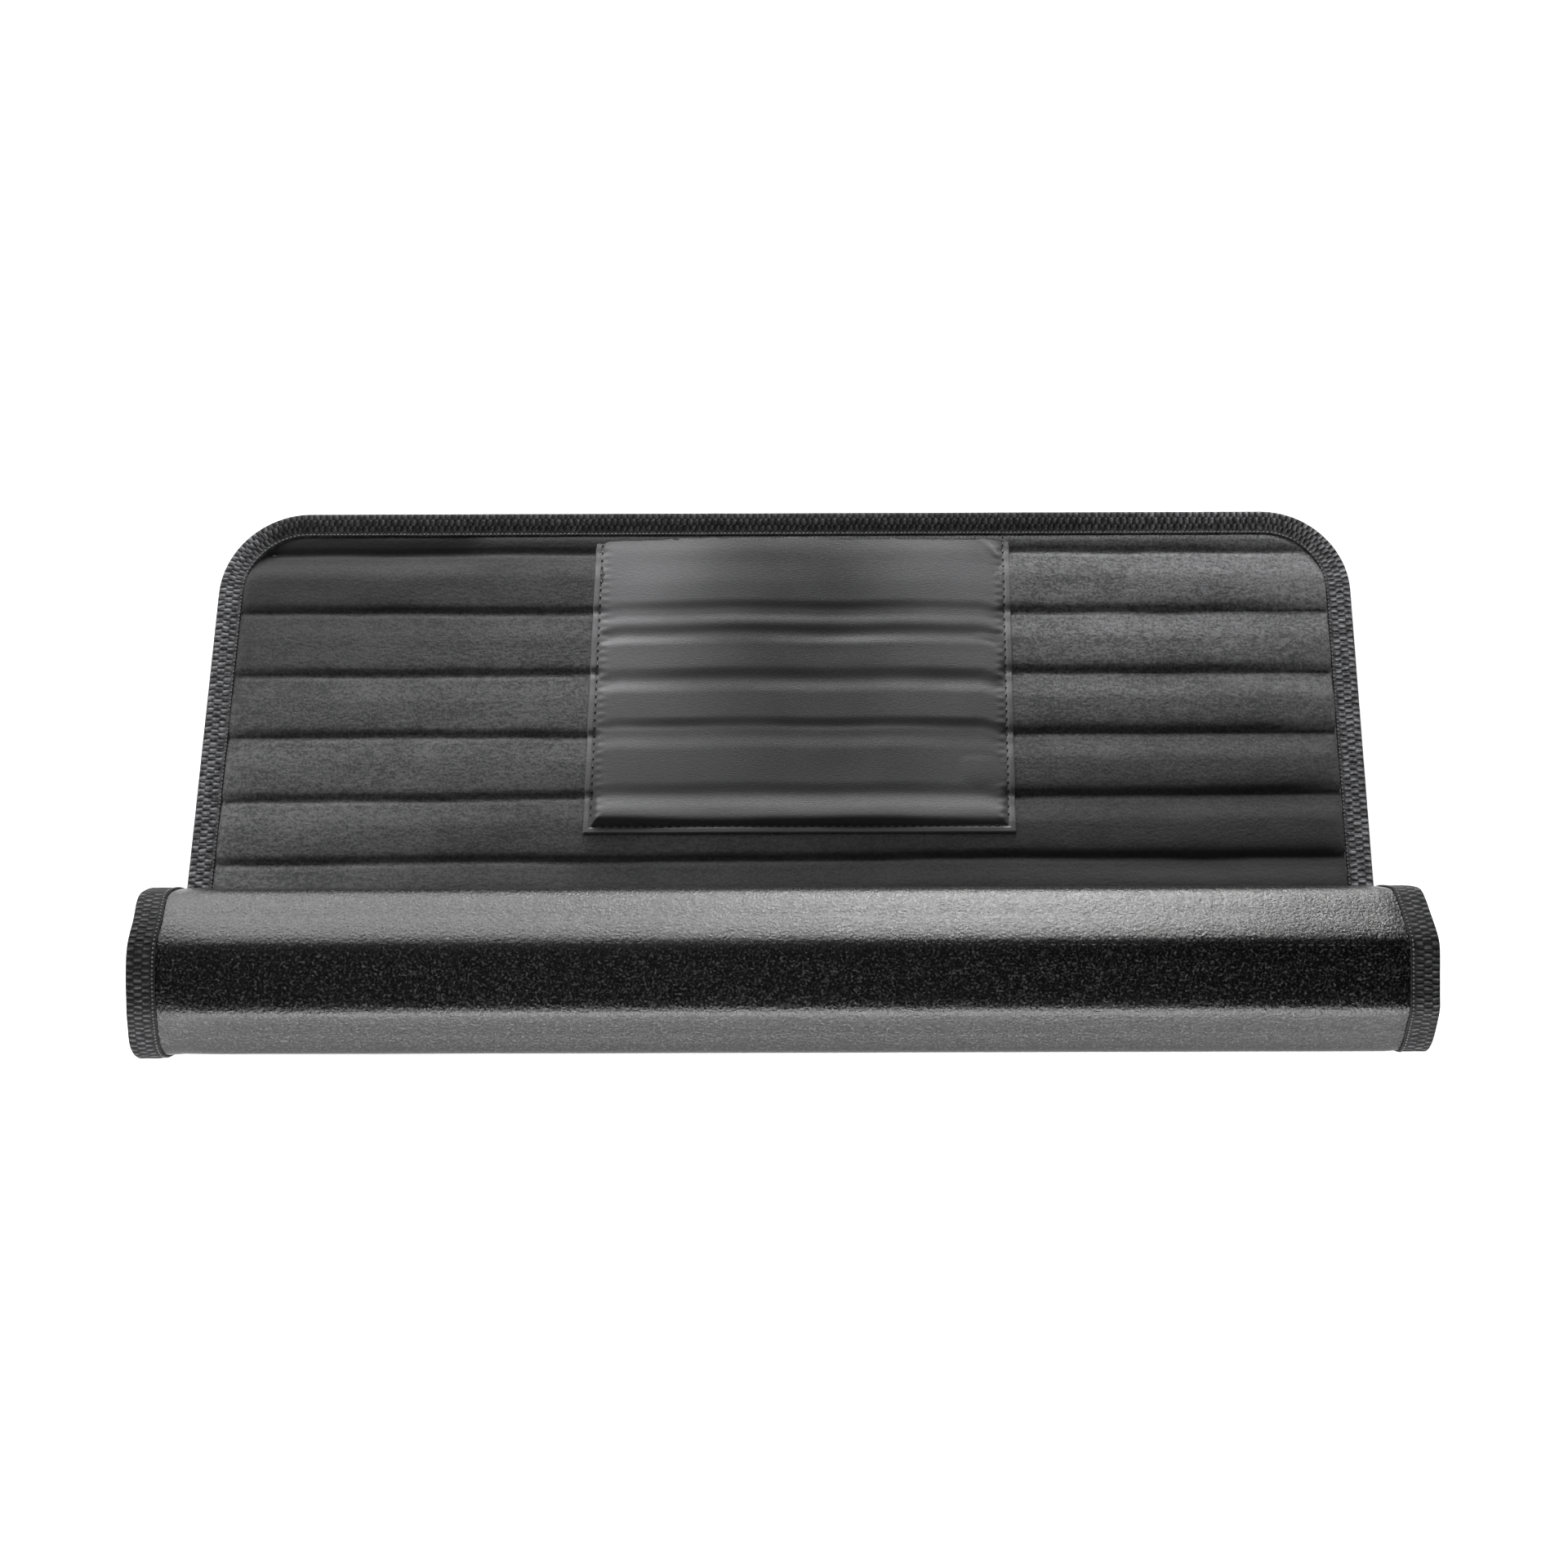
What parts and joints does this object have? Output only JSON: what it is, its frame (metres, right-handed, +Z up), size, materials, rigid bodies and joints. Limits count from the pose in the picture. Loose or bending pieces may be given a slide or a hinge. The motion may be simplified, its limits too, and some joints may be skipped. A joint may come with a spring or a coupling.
{
  "type": "kayak carrier mat",
  "caption": "Padded protective mat with a quilted cloth face, vinyl back, folded tape edge and a sewn satin panel, laid flat at one end and rolled up over its face from the other.",
  "frame": {"origin": "centre of the footprint, on the floor", "axes": "+X across the mat, along the roll; +Y towards the flat end; +Z up"},
  "size_m": [0.66, 0.3258, 0.09],
  "materials": {
    "face_cloth": "brushed dark grey knit",
    "padding": "soft foam",
    "backing_sheet": "pebble-grained black vinyl",
    "edge_binding": "woven black tape",
    "label_panel": "grey satin weave"
  },
  "bodies": {
    "root": {"face_cloth": "face_cloth", "padding": "padding", "backing_sheet": "backing_sheet", "edge_binding": "edge_binding", "label_panel": "label_panel"}
  },
  "joints": []
}
